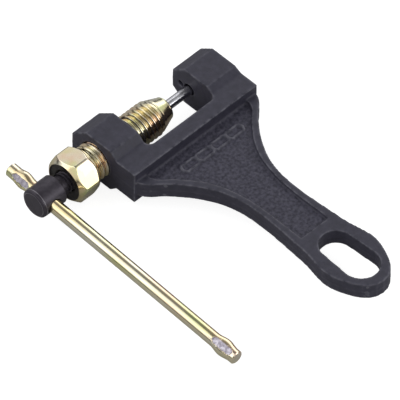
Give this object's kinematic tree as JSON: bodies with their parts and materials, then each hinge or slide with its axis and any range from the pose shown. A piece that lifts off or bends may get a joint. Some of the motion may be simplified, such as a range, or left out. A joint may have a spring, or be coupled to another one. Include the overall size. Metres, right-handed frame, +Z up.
{
  "type": "chain tool",
  "caption": "Screw press for splitting roller chain: two-jaw cast frame with a slotted handle, hollow hex clamp bolt, and a push screw with a sliding cross bar that drives a punch pin.",
  "frame": {"origin": "middle of the tool's bounding box, at its underside, which is the jaws' resting face", "axes": "+X along the screw axis from the hex head towards the anvil jaw, +Y from the handle towards the jaws, +Z up through the casting's thickness"},
  "size_m": [0.0892, 0.1268, 0.0198],
  "materials": {
    "coated_iron": "dark blue-grey coated casting, satin, coarse grain in the recessed web",
    "yellow_zinc": "yellow passivated zinc plate with pink and green tints, bright",
    "yellow_zinc_bar": "yellow passivated zinc plate drawn along the bar, bright",
    "black_oxide": "black oxide, satin, with fine turned rings",
    "bright_steel": "ground and polished steel",
    "spring_steel": "bare spring wire"
  },
  "bodies": {
    "frame": {"frame": "coated_iron"},
    "spring_carriage": {"return_spring": "spring_steel"},
    "clamp_bolt": {"clamp_bolt": "yellow_zinc"},
    "punch_pin": {"punch_pin": "bright_steel"},
    "push_screw": {"push_screw": "black_oxide"},
    "tommy_bar": {"tommy_bar": "yellow_zinc_bar"}
  },
  "joints": [
    {"name": "clamp_travel", "type": "slide", "parent": "frame", "child": "spring_carriage", "axis": [1, 0, 0], "range_m": [-0.02, 0.0045]},
    {"name": "clamp_turn", "type": "hinge", "parent": "spring_carriage", "child": "clamp_bolt", "pos_m": [-0.015, 0.04673, 0.0099], "axis": [1, 0, 0], "range_deg": [-3602, 812]},
    {"name": "punch_travel", "type": "slide", "parent": "clamp_bolt", "child": "punch_pin", "axis": [1, 0, 0], "range_m": [-0.013, 0.0034], "deforming": ["return_spring"]},
    {"name": "push_turn", "type": "hinge", "parent": "punch_pin", "child": "push_screw", "pos_m": [-0.0395, 0.04673, 0.0099], "axis": [1, 0, 0], "range_deg": [-3746, 981]},
    {"name": "bar_slide", "type": "slide", "parent": "push_screw", "child": "tommy_bar", "axis": [0, 0.9977, 0.068], "range_m": [0, 0.077]}
  ],
  "couplings": [
    {"joint": "clamp_turn", "follows": "clamp_travel", "rad_per_m": 3141.6},
    {"joint": "push_turn", "follows": "punch_travel", "rad_per_m": 5026.5}
  ]
}
